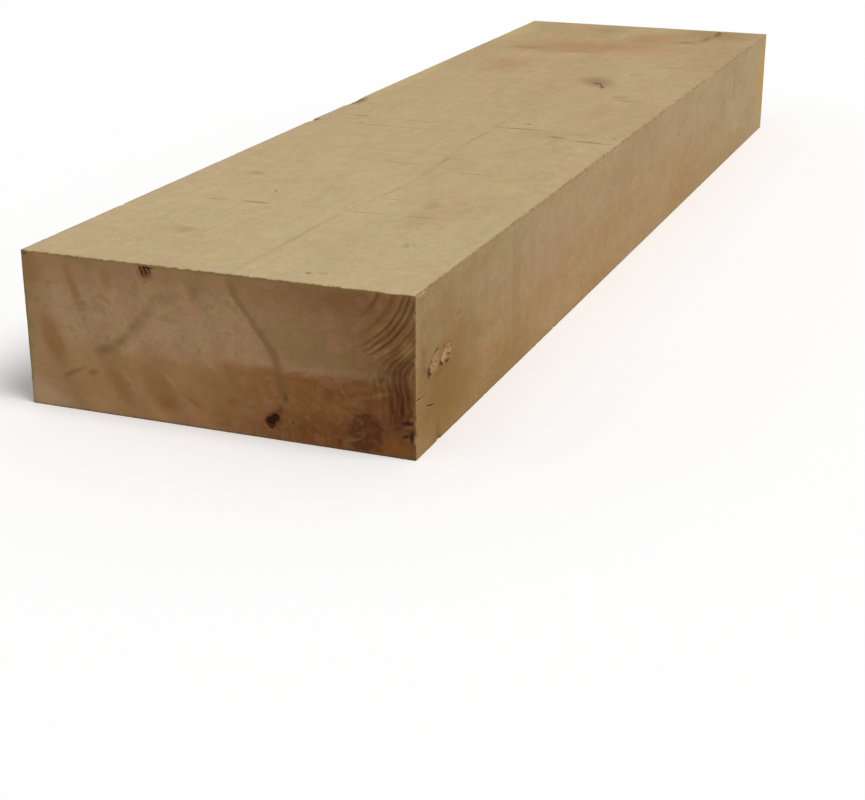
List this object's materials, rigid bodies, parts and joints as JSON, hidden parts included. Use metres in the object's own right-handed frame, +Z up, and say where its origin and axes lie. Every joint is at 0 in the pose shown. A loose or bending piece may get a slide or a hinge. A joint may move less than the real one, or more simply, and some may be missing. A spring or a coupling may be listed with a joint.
{
  "type": "oak beam",
  "caption": "Sawn oak beam of rectangular section, laid on its wide face: a length of square-edged timber for building.",
  "frame": {"origin": "on the floor, under the middle of the beam as it lies on its wide face", "axes": "+Y along the grain from the front end to the back end, +X across the wide face to the right side, +Z up through the thickness"},
  "size_m": [0.26, 1, 0.1],
  "materials": {
    "oak": "rough sawn, matt, unfinished"
  },
  "bodies": {
    "root": {"beam": "oak"}
  },
  "joints": []
}
